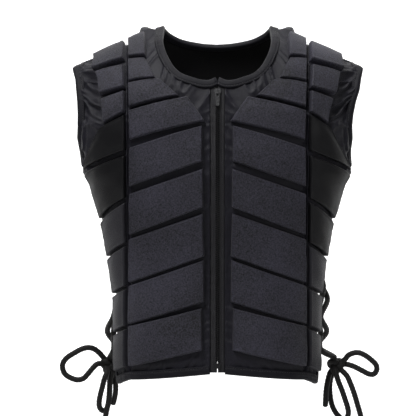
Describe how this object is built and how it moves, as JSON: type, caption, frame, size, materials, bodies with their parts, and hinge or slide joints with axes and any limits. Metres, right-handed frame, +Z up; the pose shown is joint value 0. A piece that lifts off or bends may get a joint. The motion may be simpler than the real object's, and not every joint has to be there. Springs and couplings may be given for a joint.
{
  "type": "equestrian body protector",
  "caption": "Padded riding vest with raised foam blocks under woven cloth, a front zip, bound neck and armholes, and cord lacing tied in bows at the sides.",
  "frame": {"origin": "between the shoulders, at the height where the vest rests on them", "axes": "+Z up, front towards -Y, +X towards the picture's right"},
  "size_m": [0.4924, 0.2413, 0.6127],
  "materials": {
    "panel": "matte",
    "block": "matte",
    "satin": "satin",
    "binding": "satin",
    "zip": "matte",
    "metal": "satin",
    "cord": "matte"
  },
  "bodies": {
    "vest": {"shell_front_left": "panel", "shell_front_right": "panel", "pad_front_left_inner_1": "block", "pad_front_left_inner_2": "block", "pad_front_left_inner_3": "block", "pad_front_left_inner_4": "block", "pad_front_left_inner_5": "block", "pad_front_left_inner_6": "block", "pad_front_left_inner_7": "block", "pad_front_left_inner_8": "block", "pad_front_left_inner_9": "block", "pad_front_left_outer_1": "block", "pad_front_left_outer_2": "block", "pad_front_left_outer_3": "block", "pad_front_left_outer_4": "satin", "pad_front_left_outer_5": "satin", "pad_front_left_outer_6": "block", "pad_front_left_outer_7": "block", "pad_front_left_outer_8": "block", "pad_front_left_outer_9": "block", "pad_front_right_inner_1": "block", "pad_front_right_inner_2": "block", "pad_front_right_inner_3": "block", "pad_front_right_inner_4": "block", "pad_front_right_inner_5": "block", "pad_front_right_inner_6": "block", "pad_front_right_inner_7": "block", "pad_front_right_inner_8": "block", "pad_front_right_inner_9": "block", "pad_front_right_outer_1": "block", "pad_front_right_outer_2": "block", "pad_front_right_outer_3": "block", "pad_front_right_outer_4": "satin", "pad_front_right_outer_5": "satin", "pad_front_right_outer_6": "block", "pad_front_right_outer_7": "block", "pad_front_right_outer_8": "block", "pad_front_right_outer_9": "block", "shell_back": "panel", "binding_neck": "binding", "binding_armhole_left": "binding", "binding_hem_left": "binding", "zip_half_left": "zip", "binding_armhole_right": "binding", "binding_hem_right": "binding", "zip_half_right": "zip", "binding_hem_back": "binding", "zip_bottom_box": "metal", "zip_slider": "metal", "lace_left": "cord", "bow_left": "cord", "lace_end_long_left": "cord", "lace_end_short_left": "cord", "lace_right": "cord", "bow_right": "cord", "lace_end_long_right": "cord", "lace_end_short_right": "cord"},
    "pull": {"zip_pull": "metal"}
  },
  "joints": [
    {"name": "zip_pull_hinge", "type": "hinge", "parent": "vest", "child": "pull", "pos_m": [0, -0.11403, -0.08612], "axis": [-1, 0, 0], "range_deg": [0, 150]}
  ]
}
